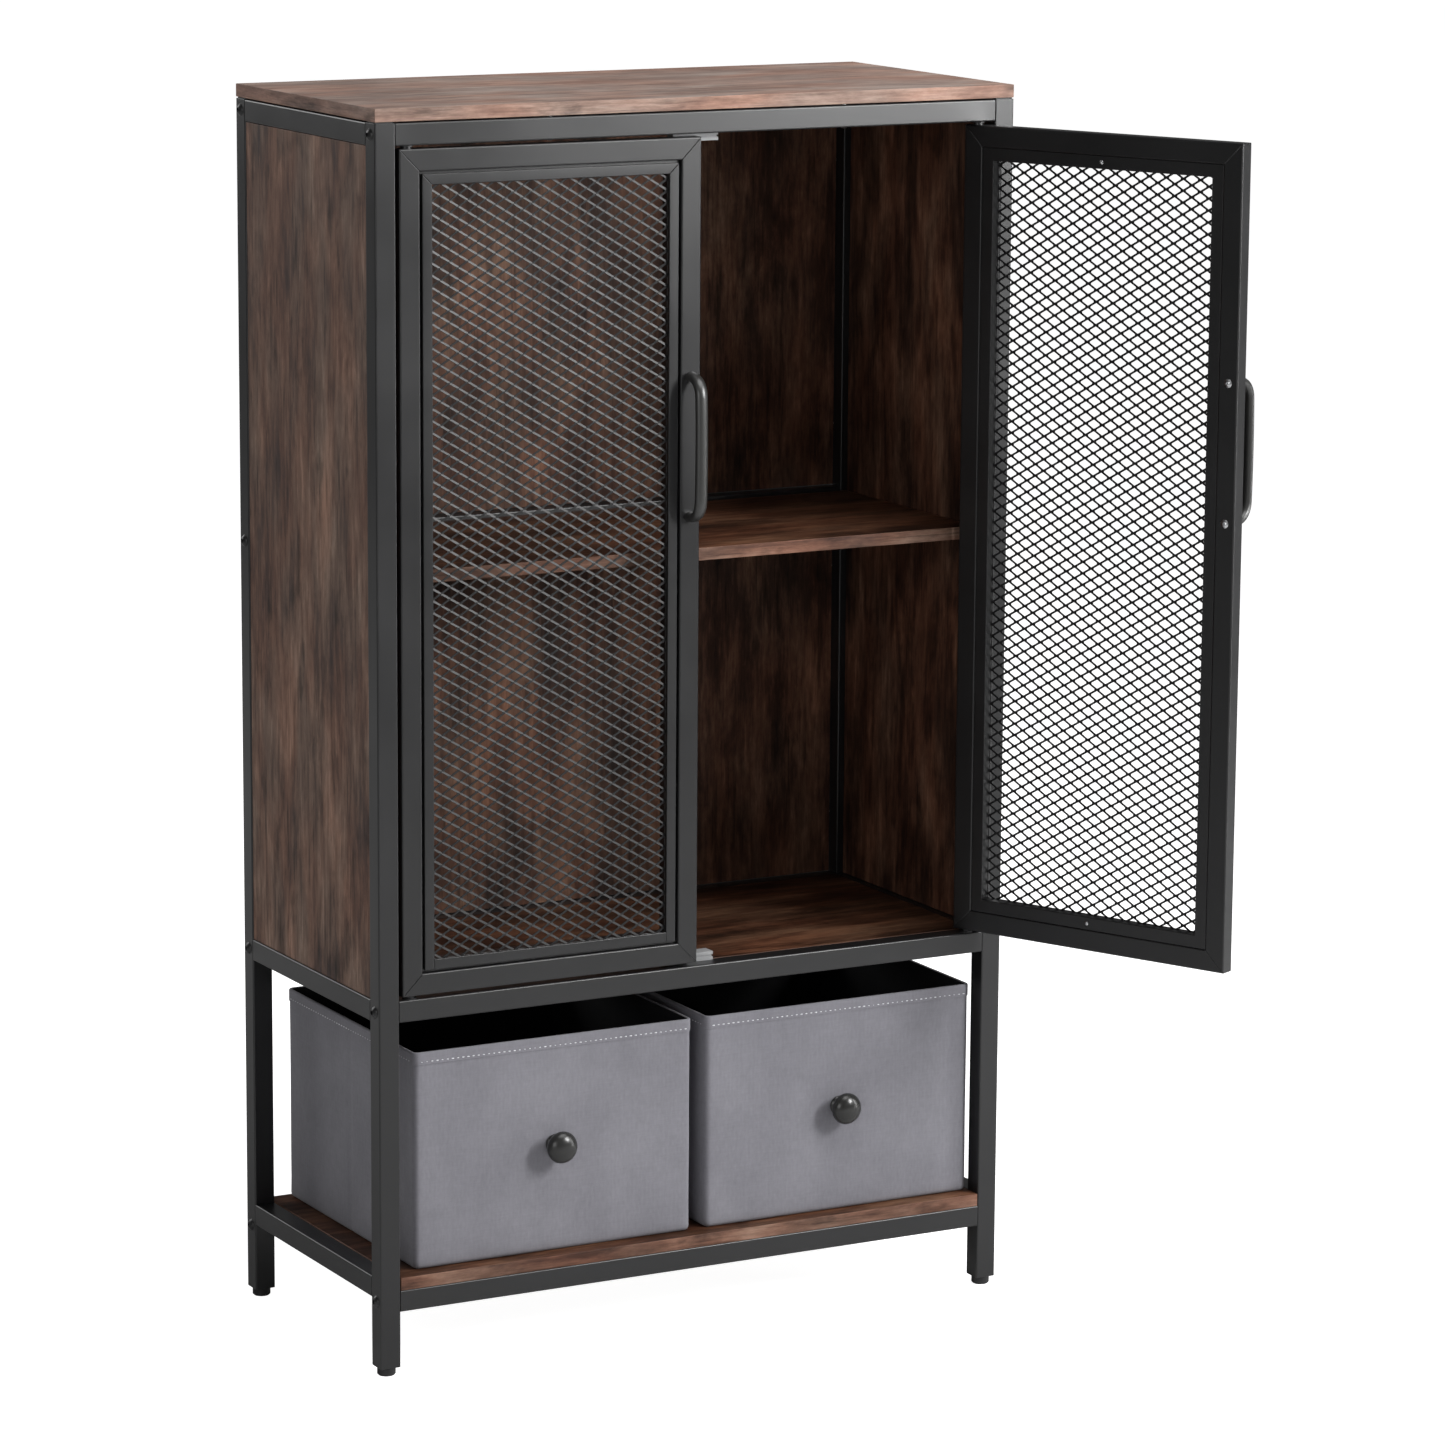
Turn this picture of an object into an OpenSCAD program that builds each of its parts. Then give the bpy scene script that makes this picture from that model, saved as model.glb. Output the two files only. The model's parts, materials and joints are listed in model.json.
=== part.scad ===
// Tall two-door storage cabinet: a bolted square-tube frame with wood boards and panels,
// a pair of mesh doors on pivot pins and two pull-out fabric bins below them.
// The origin is the centre of the footprint on the floor. The front faces -Y and +Z is up.

/* [Overall size] */
// Width over the two side frames
total_w = 650; // [520:10:900]
// Depth over the front and rear posts
total_d = 300; // [240:10:450]
// Height from the floor to the top of the top board
total_h = 1150; // [900:10:1500]

/* [Frame tube] */
// Outer width of the square frame tube
tube = 20; // [16:1:30]
// Wall of the frame and door tubes
tube_wall = 1.2; // [0.8:0.1:2]
// Outer corner radius of the tubes
tube_corner_r = 1.5; // [1.3:0.1:3]
// Thickness of the threaded plate inside the end of each cross rail
end_plate_t = 4; // [3:0.5:6]
// Thickness of the welded tabs that carry the shelf and the floor board
tab_t = 2; // [1:0.5:4]
// Width of a tab along its rail
tab_w = 30; // [15:1:60]
// Distance that a tab reaches under its board
tab_reach = 14; // [8:1:25]
// Distance from a rail's end to the centre of its tab
tab_inset = 105; // [40:5:180]

/* [Levels] */
// Floor to the underside of the front and rear low rails
low_rail_z = 60; // [30:5:120]
// Floor to the underside of the middle rails
mid_rail_z = 330; // [250:5:400]
// Floor to the underside of the shelf
shelf_z = 722; // [560:2:760]

/* [Boards and panels] */
// Thickness of the boards and side panels
board_t = 12; // [8:1:18]
// Thickness of the back panels
back_t = 5; // [3:0.5:9]
// Depth of the panel faces behind the outer faces of the tubes
panel_recess = 1; // [0:0.5:3]
// Gap between a board or panel and the tubes around it
panel_gap = 0.5; // [0.2:0.1:1.5]
// Height of the seam between the frame and the top board
top_seam = 1.2; // [0.6:0.2:3]
// Distance from the frame's front face to the shelf's front edge
shelf_setback = 35; // [25:1:80]
// Diameter of the dowels that hold the side panels
dowel_d = 6; // [4:0.5:7]
// Diameter of the pins that hold the back panels
back_pin_d = 2.5; // [1.5:0.5:3]
// Distance from a panel's top or bottom edge to its dowels
dowel_inset = 60; // [30:5:120]
// Depth of a dowel in the panel's edge
dowel_depth = 12; // [8:1:20]

/* [Doors] */
// Width of the door tube across the door's face
door_tube_w = 20; // [15:1:30]
// Thickness of the door
door_t = 15; // [12:1:20]
// Gap between a door and the post beside it
door_side_gap = 3.5; // [2.5:0.5:6]
// Gap between the two closed doors
door_centre_gap = 4; // [2:0.5:8]
// Gap above and below each door
door_end_gap = 3; // [2.5:0.1:6]
// Distance from the door's hinge edge to the pivot axis
pivot_inset = 10; // [9:0.5:11]
// Angle at which the right door stands open, unless its post stops it sooner
right_door_open = 115; // [0:1:118]
// Width of the bead strips around the mesh
bead_w = 9.5; // [6:0.5:15]
// Thickness of the bead strips
bead_t = 3.5; // [2:0.5:5]
// Gap between the bead strips and the door tube
bead_gap = 2.5; // [1:0.5:5]
// Distance of the bead behind the door's front face, and of its backing strips before the rear face
bead_setback = 0.5; // [0:0.5:2]
// Thickness of the mesh sheet
mesh_t = 0.8; // [0.5:0.1:1.5]

/* [Door pivots] */
// Diameter of the pivot pins
pin_d = 6; // [4:0.5:8]
// Length of a pin inside its bush
pin_engage = 8; // [5:0.5:12]
// Radial running clearance between a pin and its bush
pin_clearance = 0.05; // [0.02:0.01:0.09]
// Wall of a bush
bush_wall = 1.5; // [1:0.25:2.5]
// Thickness of a bush's flange
bush_flange_t = 1; // [0.6:0.2:1.2]
// Height of the block that holds a pin inside the door tube
pin_block_h = 16; // [10:1:25]

/* [Handles] */
// Distance between a handle's two screws
handle_span = 128; // [96:16:192]
// Diameter of the handle bar
handle_bar_d = 12; // [8:0.5:13]
// Distance from the door's face to the outside of the bar
handle_projection = 26; // [24:1:35]
// Bend radius of the bar at its centre line
handle_bend_r = 14; // [10:1:16]
// Distance from the door's top edge to the middle of the handle
handle_drop = 280; // [120:5:400]

/* [Bins] */
// Gap between the left bin and the left post
bin_left_gap = 21; // [3:1:30]
// Gap between the two bins
bin_middle_gap = 14; // [4:1:30]
// Gap between the right bin and the right post
bin_right_gap = 3; // [2:1:30]
// Distance of the bin fronts behind the frame's front face
bin_setback = 15; // [2:1:40]
// Gap between the bins and the frame's rear face
bin_rear_gap = 5; // [0:1:40]
// Gap between the bins and the middle rails
bin_head_gap = 34; // [15:1:60]
// Thickness of a bin's walls
bin_wall = 3; // [2:0.5:5]
// Radius of a bin's upright corners
bin_corner_r = 6; // [3.5:0.5:10]
// Thickness of the loose base board in a bin
bin_base_t = 2; // [1:0.5:4]
// Gap around the loose base board
bin_base_gap = 1; // [0.5:0.5:3]
// Diameter of a knob
knob_d = 30; // [20:1:40]
// Distance that a knob stands out
knob_projection = 24; // [18:1:32]

/* [Fasteners and feet] */
// Diameter of the frame bolts
bolt_d = 6; // [5:1:8]
// Diameter of a frame bolt's head
bolt_head_d = 11.5; // [10:0.5:14]
// Height of a frame bolt's head
bolt_head_h = 3.2; // [2:0.2:4]
// Distance that a frame bolt reaches past its threaded plate
bolt_reach = 3; // [1:0.5:4]
// Diameter of the small screws in the handles, knobs and top board
screw_d = 4; // [3:0.5:4.5]
// Diameter of a small screw's head
screw_head_d = 8; // [6.5:0.5:9]
// Height of a small screw's head
screw_head_h = 1.8; // [1.2:0.2:2.2]
// Distance from the frame's side to the top board's screws
top_screw_inset = 175; // [60:5:200]
// Radial clearance of bolts, screws and pins in their holes
hole_clearance = 0.2; // [0.1:0.05:0.3]
// Diameter of a foot
foot_d = 17; // [12:1:20]
// Height of a foot
foot_h = 8; // [5:1:15]

/* [Hidden] */
$fn = 48;
eps = 0.01;

steel_colour = "#2c2c2e";
wood_colour = "#5b473b";
mesh_colour = "#1b1b1c";
fabric_colour = "#808087";
plastic_colour = "#141414";
screw_colour = "#b9bbbd";

// Frame
half_w = total_w / 2;
half_d = total_d / 2;
post_x = half_w - tube / 2;
post_y = half_d - tube / 2;
inner_w = total_w - 2 * tube;
inner_d = total_d - 2 * tube;
frame_top = total_h - board_t - top_seam;
tube_bore = tube - 2 * tube_wall;
low_z = low_rail_z + tube / 2;
mid_z = mid_rail_z + tube / 2;
top_z = frame_top - tube / 2;
shelf_rail_z = shelf_z + board_t / 2;
mid_top = mid_rail_z + tube;
bay_floor = low_rail_z + tube + board_t;
side_low_z = bay_floor - tube / 2;
bolt_len = tube + end_plate_t + bolt_reach;
top_screw_x = half_w - top_screw_inset;
top_screw_depth = board_t * 0.75;
foot_stem_d = foot_d / 2;
foot_hole_depth = tube * 0.8;
foot_stem_len = foot_h + foot_hole_depth - 2;

// Panels and shelf
side_panel_x = half_w - panel_recess - board_t / 2;
panel_inner_x = half_w - panel_recess - board_t;
back_panel_y = half_d - panel_recess - back_t / 2;
panel_bottom = mid_top + panel_gap;
panel_top = frame_top - tube - panel_gap;
back_split_low = shelf_rail_z - tube / 2 - panel_gap;
back_split_high = shelf_rail_z + tube / 2 + panel_gap;
dowel_tail = 4;
shelf_pin_d = 5;
shelf_pin_out = 10;
shelf_pin_in = 8;
shelf_pin_inset = 30;
shelf_pin_y = -half_d + shelf_setback + shelf_pin_inset;
side_dowel_z = [panel_bottom + dowel_inset, panel_top - dowel_inset];
back_pin_z = [
    panel_bottom + dowel_inset, back_split_low - dowel_inset,
    back_split_high + dowel_inset, panel_top - dowel_inset
];

// Doors, in a frame of their own: X from the hinge edge, Y from the front face, Z from the bottom
door_w = half_w - tube - door_side_gap - door_centre_gap / 2;
door_z = mid_top + door_end_gap;
door_h = frame_top - tube - door_end_gap - door_z;
pivot_x = half_w - tube - door_side_gap - pivot_inset;
pivot_y = -half_d + door_t / 2;
// Angle at which the door's front face meets the corner of its post
post_stop_angle = 2 * atan((pivot_inset + door_side_gap) / (door_t / 2));
open_margin = 3;
right_door_angle = min(right_door_open, post_stop_angle - open_margin);
strip_inset = door_tube_w + bead_gap;
strip_back = bead_setback + bead_t + mesh_t;
mesh_edge = 0.5;
door_bore_w = door_tube_w - 2 * tube_wall;
door_bore_t = door_t - 2 * tube_wall;
bush_d = pin_d + 2 * (pin_clearance + bush_wall);
bush_flange_d = bush_d + 4;
bush_h = pin_engage + 1;
pin_collar_t = door_end_gap - bush_flange_t - 0.2;
pin_collar_d = pin_d + 4;
handle_z = door_h - handle_drop;
handle_bar_y = handle_projection - handle_bar_d / 2;
handle_screw_depth = 8;
bead_screw_d = 2.5;
bead_screw_head_d = 4;
bead_screw_head_h = 1;
bead_screw_len = door_t - 2 * bead_setback - bead_t / 2;

// Catches
catch_w = 46;
catch_d = 14;
catch_plate_h = 3;
catch_core_h = 2;
catch_core_inset = 1;
catch_h = 2 * catch_plate_h + catch_core_h;
catch_ear_t = 2.5;
catch_ear_h = 10;
catch_gap = 0.5;
catch_y = -half_d + door_t + catch_gap;

// Bins
bin_w = (inner_w - bin_left_gap - bin_middle_gap - bin_right_gap) / 2;
bin_d = total_d - bin_setback - bin_rear_gap;
bin_h = mid_rail_z - bin_head_gap - bay_floor;
bin_left_x = -half_w + tube + bin_left_gap + bin_w / 2;
bin_right_x = half_w - tube - bin_right_gap - bin_w / 2;
bin_y = -half_d + bin_setback + bin_d / 2;
knob_dome_h = knob_d * 0.3;
knob_rim_h = 3;
knob_neck_d = knob_d * 0.45;
knob_base_d = knob_d * 0.6;
knob_base_h = 2;

// ---- Shared shapes ----

// Rectangle with round corners, centred
module rounded_rect(w, d, r) {
    square([w - 2 * r, d], center = true);
    square([w, d - 2 * r], center = true);
    for (x = [-1, 1], y = [-1, 1])
        translate([x * (w / 2 - r), y * (d / 2 - r)]) circle(r);
}

// Hollow tube along +Z, centred on the axis
module tube_z(w, d, length) {
    linear_extrude(length) difference() {
        rounded_rect(w, d, tube_corner_r);
        rounded_rect(w - 2 * tube_wall, d - 2 * tube_wall, max(tube_corner_r - tube_wall, 0.2));
    }
}

// Rod along +X that starts at the origin
module rod_x(d, length) {
    rotate([0, 90, 0]) cylinder(d = d, h = length);
}

// Rod along +Y that starts at the origin
module rod_y(d, length) {
    rotate([-90, 0, 0]) cylinder(d = d, h = length);
}

// Dome of the given width and height on the XY plane, with an optional hexagonal socket
module domed_head(d, h, socket = 0) {
    dome_r = (d * d / 4 + h * h) / (2 * h);
    difference() {
        rotate_extrude() intersection() {
            translate([0, h - dome_r]) circle(dome_r);
            square([d / 2, h]);
        }
        if (socket > 0)
            translate([0, 0, h - socket * 0.5]) cylinder(d = socket, h = h, $fn = 6);
    }
}

// Small screw along -Z with its head on the XY plane
module small_screw(d, length, head_d, head_h) {
    domed_head(head_d, head_h, head_d * 0.4);
    translate([0, 0, -length]) cylinder(d = d, h = length + eps);
}

// ---- Frame ----

// Post at one corner, with its bolt holes and panel dowel holes
module post(sx, sy) {
    levels = sy < 0 ? [low_z, mid_z, top_z] : [low_z, mid_z, shelf_rail_z, top_z];
    color(steel_colour) difference() {
        translate([sx * post_x, sy * post_y, foot_h]) tube_z(tube, tube, frame_top - foot_h);
        for (z = levels)
            translate([sx * post_x - tube, sy * post_y, z])
                rod_x(bolt_d + 2 * hole_clearance, 2 * tube);
        for (z = side_dowel_z)
            translate([sx * side_panel_x, sy * (half_d - tube) - tube_wall * 2, z])
                rod_y(dowel_d + 2 * hole_clearance, tube_wall * 4);
        if (sy > 0)
            for (z = back_pin_z)
                translate([sx * (half_w - tube) - tube_wall * 2, back_panel_y, z])
                    rod_x(back_pin_d + 2 * hole_clearance, tube_wall * 4);
    }
}

// Rail between the two posts of one side frame
module side_rail(sx, z) {
    color(steel_colour)
        translate([sx * post_x, -inner_d / 2, z]) rotate([-90, 0, 0]) tube_z(tube, tube, inner_d);
}

// Rail between the two side frames, with a threaded plate in each end
module cross_rail(sy, z) {
    color(steel_colour) translate([0, sy * post_y, z]) {
        translate([-inner_w / 2, 0, 0]) rotate([0, 90, 0]) tube_z(tube, tube, inner_w);
        for (sx = [-1, 1])
            translate([sx * (inner_w - end_plate_t) / 2, 0, 0]) difference() {
                cube([end_plate_t, tube_bore + eps, tube_bore + eps], center = true);
                translate([-end_plate_t, 0, 0])
                    rod_x(bolt_d + 2 * pin_clearance, 2 * end_plate_t);
            }
    }
}

// Pair of tabs on the inner face of a cross rail, under a board at the given height
module board_tabs(sy, board_bottom) {
    color(steel_colour) for (sx = [-1, 1])
        translate([
            sx * (inner_w / 2 - tab_inset) - tab_w / 2,
            sy > 0 ? inner_d / 2 - tab_reach : -inner_d / 2 - eps,
            board_bottom - tab_t
        ]) cube([tab_w, tab_reach + eps, tab_t]);
}

// Vertical holes through a top rail for the top board's screws
module top_screw_holes(sy) {
    for (sx = [-1, 1])
        translate([sx * top_screw_x, sy * post_y, top_z - tube])
            cylinder(d = screw_d + 2 * hole_clearance, h = 2 * tube);
}

// Bush holes at both door pivots, centred on the given rail wall
module bush_holes(z) {
    for (sx = [-1, 1])
        translate([sx * pivot_x, pivot_y, z - tube_wall * 2])
            cylinder(d = bush_d, h = tube_wall * 4);
}

module front_rail_top() {
    difference() {
        cross_rail(-1, top_z);
        top_screw_holes(-1);
        bush_holes(top_z - tube / 2);
    }
}

module front_rail_mid() {
    difference() {
        cross_rail(-1, mid_z);
        bush_holes(mid_top);
    }
    board_tabs(-1, mid_top - board_t);
}

module front_rail_low() {
    cross_rail(-1, low_z);
}

module rear_rail_top() {
    difference() {
        cross_rail(1, top_z);
        top_screw_holes(1);
    }
}

module rear_rail_shelf() {
    cross_rail(1, shelf_rail_z);
    board_tabs(1, shelf_z);
}

module rear_rail_mid() {
    cross_rail(1, mid_z);
    board_tabs(1, mid_top - board_t);
}

module rear_rail_low() {
    cross_rail(1, low_z);
}

// Caps that close the posts' tops and blocks that hold the feet in their lower ends
module tube_end_plugs() {
    plug_w = tube_bore - 2 * hole_clearance;
    cap_w = tube - 2 * tube_corner_r;
    color(plastic_colour) for (sx = [-1, 1], sy = [-1, 1]) translate([sx * post_x, sy * post_y, 0]) {
        translate([0, 0, frame_top + top_seam / 2]) cube([cap_w, cap_w, top_seam], center = true);
        translate([0, 0, frame_top - tube / 8])
            cube([plug_w, plug_w, tube / 4 + eps], center = true);
        translate([0, 0, foot_h]) difference() {
            translate([-plug_w / 2, -plug_w / 2, 0]) cube([plug_w, plug_w, tube]);
            translate([0, 0, -eps])
                cylinder(d = foot_stem_d + 2 * pin_clearance, h = foot_hole_depth + eps);
        }
    }
}

// Four glides, each with a stem in its leg's plug
module feet() {
    r = foot_d / 2;
    edge = foot_d * 0.08;
    color(plastic_colour) for (sx = [-1, 1], sy = [-1, 1]) translate([sx * post_x, sy * post_y, 0]) {
        rotate_extrude()
            polygon([[0, 0], [r - edge, 0], [r, edge], [r, foot_h], [0, foot_h]]);
        cylinder(d = foot_stem_d, h = foot_stem_len);
    }
}

// Bolts through one side's posts into the cross rails
module frame_bolts(sx) {
    at = [
        [-1, low_z], [-1, mid_z], [-1, top_z],
        [1, low_z], [1, mid_z], [1, shelf_rail_z], [1, top_z]
    ];
    color(plastic_colour) for (b = at)
        translate([sx * half_w, b[0] * post_y, b[1]]) rotate([0, sx * 90, 0]) {
            domed_head(bolt_head_d, bolt_head_h, bolt_head_d * 0.4);
            translate([0, 0, -bolt_len]) cylinder(d = bolt_d, h = bolt_len + eps);
        }
}

// ---- Boards and panels ----

module top_board() {
    color(wood_colour) difference() {
        translate([-half_w, -half_d, total_h - board_t]) cube([total_w, total_d, board_t]);
        for (sx = [-1, 1], sy = [-1, 1])
            translate([sx * top_screw_x, sy * post_y, total_h - board_t - eps])
                cylinder(d = screw_d + 2 * pin_clearance, h = top_screw_depth + 1);
    }
}

// Screws up through the top rails into the top board
module top_board_screws() {
    color(screw_colour) for (sx = [-1, 1], sy = [-1, 1])
        translate([sx * top_screw_x, sy * post_y, frame_top - tube]) rotate([180, 0, 0])
            small_screw(screw_d, tube + top_seam + top_screw_depth, screw_head_d, screw_head_h);
}

module shelf_board() {
    w = 2 * (panel_inner_x - panel_gap);
    d = half_d - tube - panel_gap + half_d - shelf_setback;
    color(wood_colour)
        translate([-w / 2, -half_d + shelf_setback, shelf_z]) cube([w, d, board_t]);
}

module floor_board() {
    color(wood_colour)
        translate([0, 0, mid_top - board_t / 2])
            cube([inner_w - 2 * panel_gap, inner_d - 2 * panel_gap, board_t], center = true);
}

module bottom_board() {
    color(wood_colour)
        translate([0, 0, bay_floor - board_t / 2])
            cube([inner_w - 2 * panel_gap, total_d, board_t], center = true);
}

module side_panel(sx) {
    color(wood_colour) difference() {
        translate([sx * side_panel_x, 0, (panel_bottom + panel_top) / 2])
            cube([board_t, inner_d - 2 * panel_gap, panel_top - panel_bottom], center = true);
        for (sy = [-1, 1], z = side_dowel_z)
            translate([sx * side_panel_x, sy * (inner_d / 2 - dowel_depth / 2), z])
                rotate([90, 0, 0])
                    cylinder(d = dowel_d + 2 * pin_clearance, h = dowel_depth + 2, center = true);
        translate([sx * (panel_inner_x - eps), shelf_pin_y, shelf_z - shelf_pin_d / 2])
            rotate([0, sx * 90, 0])
                cylinder(d = shelf_pin_d + 2 * pin_clearance, h = shelf_pin_in + 1);
    }
}

module back_panel(low, high, pin_heights) {
    color(wood_colour) difference() {
        translate([0, back_panel_y, (low + high) / 2])
            cube([inner_w - 2 * panel_gap, back_t, high - low], center = true);
        for (sx = [-1, 1], z = pin_heights)
            translate([sx * (inner_w / 2 - dowel_depth / 2), back_panel_y, z])
                rotate([0, 90, 0])
                    cylinder(d = back_pin_d + 2 * pin_clearance, h = dowel_depth + 2, center = true);
    }
}

// Dowels from the posts into the side panels' edges and thinner pins into the back panels'
module panel_dowels() {
    length = dowel_tail + dowel_depth;
    color(screw_colour) {
        for (sx = [-1, 1], sy = [-1, 1], z = side_dowel_z)
            translate([sx * side_panel_x, sy * (inner_d / 2 + dowel_tail - length / 2), z])
                rotate([90, 0, 0]) cylinder(d = dowel_d, h = length, center = true);
        for (sx = [-1, 1], z = back_pin_z)
            translate([sx * (inner_w / 2 + dowel_tail - length / 2), back_panel_y, z])
                rotate([0, 90, 0]) cylinder(d = back_pin_d, h = length, center = true);
    }
}

// Two pins under the shelf's front corners
module shelf_pins() {
    color(screw_colour) for (sx = [-1, 1])
        translate([sx * (panel_inner_x + shelf_pin_in), shelf_pin_y, shelf_z - shelf_pin_d / 2])
            rotate([0, -sx * 90, 0]) cylinder(d = shelf_pin_d, h = shelf_pin_in + shelf_pin_out);
}

// ---- Door hardware on the frame ----

// Block with two plates and a narrower core, its underside at the origin
module catch_block() {
    for (z = [0, catch_plate_h + catch_core_h])
        translate([-catch_w / 2, 0, z]) cube([catch_w, catch_d, catch_plate_h]);
    translate([-catch_w / 2 + catch_core_inset, catch_core_inset, 0])
        cube([catch_w - 2 * catch_core_inset, catch_d - 2 * catch_core_inset, catch_h]);
}

// Magnetic catches under the top rail and on the middle rail
module door_catches() {
    rail_back = -half_d + tube;
    color("#8d8f90") {
        translate([0, catch_y, frame_top - tube - catch_h]) catch_block();
        translate([-catch_w / 2, rail_back, frame_top - tube - eps])
            cube([catch_w, catch_ear_t, catch_ear_h]);
        translate([0, catch_y, mid_top]) catch_block();
    }
}

// Flanged bushes in the rails above and below each door's pivot
module pivot_bushes() {
    color(plastic_colour) for (sx = [-1, 1], end = [-1, 1])
        translate([sx * pivot_x, pivot_y, end > 0 ? frame_top - tube : mid_top])
            rotate([end > 0 ? 0 : 180, 0, 0]) difference() {
                union() {
                    translate([0, 0, -bush_flange_t])
                        cylinder(d = bush_flange_d, h = bush_flange_t);
                    cylinder(d = bush_d, h = bush_h);
                }
                translate([0, 0, -bush_flange_t - 1])
                    cylinder(d = pin_d + 2 * pin_clearance, h = bush_h + bush_flange_t + 2);
            }
}

// ---- Doors ----

// Door tube along +X with both ends cut at 45 degrees, its outer edge on Z = 0
module mitred_tube(length) {
    intersection() {
        translate([0, door_t / 2, door_tube_w / 2]) rotate([0, 90, 0])
            tube_z(door_tube_w, door_t, length);
        translate([0, door_t, 0]) rotate([90, 0, 0]) linear_extrude(door_t)
            polygon([
                [0, 0], [length, 0],
                [length - door_tube_w, door_tube_w], [door_tube_w, door_tube_w]
            ]);
    }
}

// Turns a shape laid along +X so that it runs up the hinge edge
module upright() {
    mirror([1, 0, 0]) rotate([0, -90, 0]) children();
}

module stile_hinge() {
    color(steel_colour) upright() mitred_tube(door_h);
}

module stile_latch() {
    color(steel_colour) difference() {
        translate([door_w, 0, 0]) mirror([1, 0, 0]) upright() mitred_tube(door_h);
        for (s = [-1, 1])
            translate([door_w - door_tube_w / 2, -1, handle_z + s * handle_span / 2])
                rod_y(screw_d + 2 * hole_clearance, door_t + 2);
    }
}

// Hole for a pivot pin in a door rail's outer wall, at the given height
module pin_hole(z) {
    translate([pivot_inset, door_t / 2, z - tube_wall * 2])
        cylinder(d = pin_d + 2 * hole_clearance, h = tube_wall * 4);
}

module door_rail_bottom() {
    color(steel_colour) difference() {
        mitred_tube(door_w);
        pin_hole(0);
    }
}

module door_rail_top() {
    color(steel_colour) difference() {
        translate([0, 0, door_h]) mirror([0, 0, 1]) mitred_tube(door_w);
        pin_hole(door_h);
    }
}

// Four flat strips around the opening: mitred at the top, with the sides running full at the bottom
module strips(inset, w, front, t) {
    right = door_w - inset;
    top = door_h - inset;
    outlines = [
        [[inset, inset], [inset + w, inset], [inset + w, top - w], [inset, top]],
        [[right, inset], [right - w, inset], [right - w, top - w], [right, top]],
        [[inset, top], [right, top], [right - w, top - w], [inset + w, top - w]],
        [[inset + w, inset], [right - w, inset], [right - w, inset + w], [inset + w, inset + w]]
    ];
    for (p = outlines)
        translate([0, front + t, 0]) rotate([90, 0, 0]) linear_extrude(t) polygon(p);
}

// Holes for the two screws that clamp the mesh between the strips
module bead_screw_places() {
    for (z = [door_tube_w + (bead_gap + bead_w) / 2, door_h - door_tube_w - (bead_gap + bead_w) / 2])
        translate([door_w / 2, door_t - bead_setback, z]) children();
}

module bead() {
    color(steel_colour) difference() {
        strips(strip_inset, bead_w, bead_setback, bead_t);
        bead_screw_places() translate([0, -bead_screw_len - hole_clearance, 0])
            rod_y(bead_screw_d, bead_screw_len);
    }
}

module mesh_frame() {
    color(steel_colour) difference() {
        strips(door_tube_w, bead_gap + bead_w, strip_back, door_t - bead_setback - strip_back);
        bead_screw_places() translate([0, -door_t, 0])
            rod_y(bead_screw_d + 2 * hole_clearance, 2 * door_t);
    }
}

module mesh_sheet() {
    edge = door_tube_w + mesh_edge;
    color(mesh_colour) difference() {
        translate([edge, bead_setback + bead_t, edge])
            cube([door_w - 2 * edge, mesh_t, door_h - 2 * edge]);
        bead_screw_places() translate([0, -door_t, 0])
            rod_y(bead_screw_d + 2 * hole_clearance, 2 * door_t);
    }
}

// Pin that stands out of the door's lower end, in a block inside the hinge stile
module pivot_pin() {
    block_z = door_tube_w + tube_wall;
    out = door_end_gap + pin_engage;
    translate([pivot_inset, door_t / 2, 0]) {
        translate([0, 0, -out]) cylinder(d = pin_d, h = out + block_z + eps);
        translate([0, 0, -pin_collar_t]) cylinder(d = pin_collar_d, h = pin_collar_t);
        translate([0, 0, block_z + pin_block_h / 2])
            cube([
                door_bore_w - 2 * hole_clearance, door_bore_t - 2 * hole_clearance, pin_block_h
            ], center = true);
    }
}

module pivot_pins() {
    color(screw_colour) {
        pivot_pin();
        translate([0, 0, door_h]) mirror([0, 0, 1]) pivot_pin();
    }
}

// Bow handle on the latch stile, with a threaded hole in each foot
module handle() {
    foot = handle_bar_y - handle_bend_r;
    straight = handle_span - 2 * handle_bend_r;
    color(plastic_colour) translate([door_w - door_tube_w / 2, 0, handle_z]) difference() {
        union() {
            translate([0, -handle_bar_y, -straight / 2])
                cylinder(d = handle_bar_d, h = straight);
            for (s = [-1, 1]) {
                translate([0, -foot, s * handle_span / 2]) rod_y(handle_bar_d, foot);
                translate([0, -foot, s * straight / 2])
                    rotate([90, 0, -90]) rotate([0, 0, s > 0 ? 0 : -90])
                        rotate_extrude(angle = 90)
                            translate([handle_bend_r, 0]) circle(d = handle_bar_d);
            }
        }
        for (s = [-1, 1])
            translate([0, -handle_screw_depth, s * handle_span / 2])
                rod_y(screw_d + 2 * pin_clearance, handle_screw_depth + 1);
    }
}

// Handle screws through the latch stile and the two screws of the mesh strips
module door_screws() {
    color(screw_colour) {
        for (s = [-1, 1])
            translate([door_w - door_tube_w / 2, door_t, handle_z + s * handle_span / 2])
                rotate([-90, 0, 0])
                    small_screw(screw_d, door_t + handle_screw_depth - 1, screw_head_d, screw_head_h);
        bead_screw_places() rotate([-90, 0, 0])
            small_screw(
                bead_screw_d - 2 * pin_clearance, bead_screw_len,
                bead_screw_head_d, bead_screw_head_h
            );
    }
}

// Places a door on the left pivot axis, opened by the given angle
module on_left_pivot(open) {
    translate([-pivot_x, pivot_y, door_z]) rotate([0, 0, -open])
        translate([-pivot_inset, -door_t / 2, 0]) children();
}

// The right door is the left one's mirror image and stands open
module on_right_pivot() {
    mirror([1, 0, 0]) on_left_pivot(right_door_angle) children();
}

// ---- Bins ----

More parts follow.
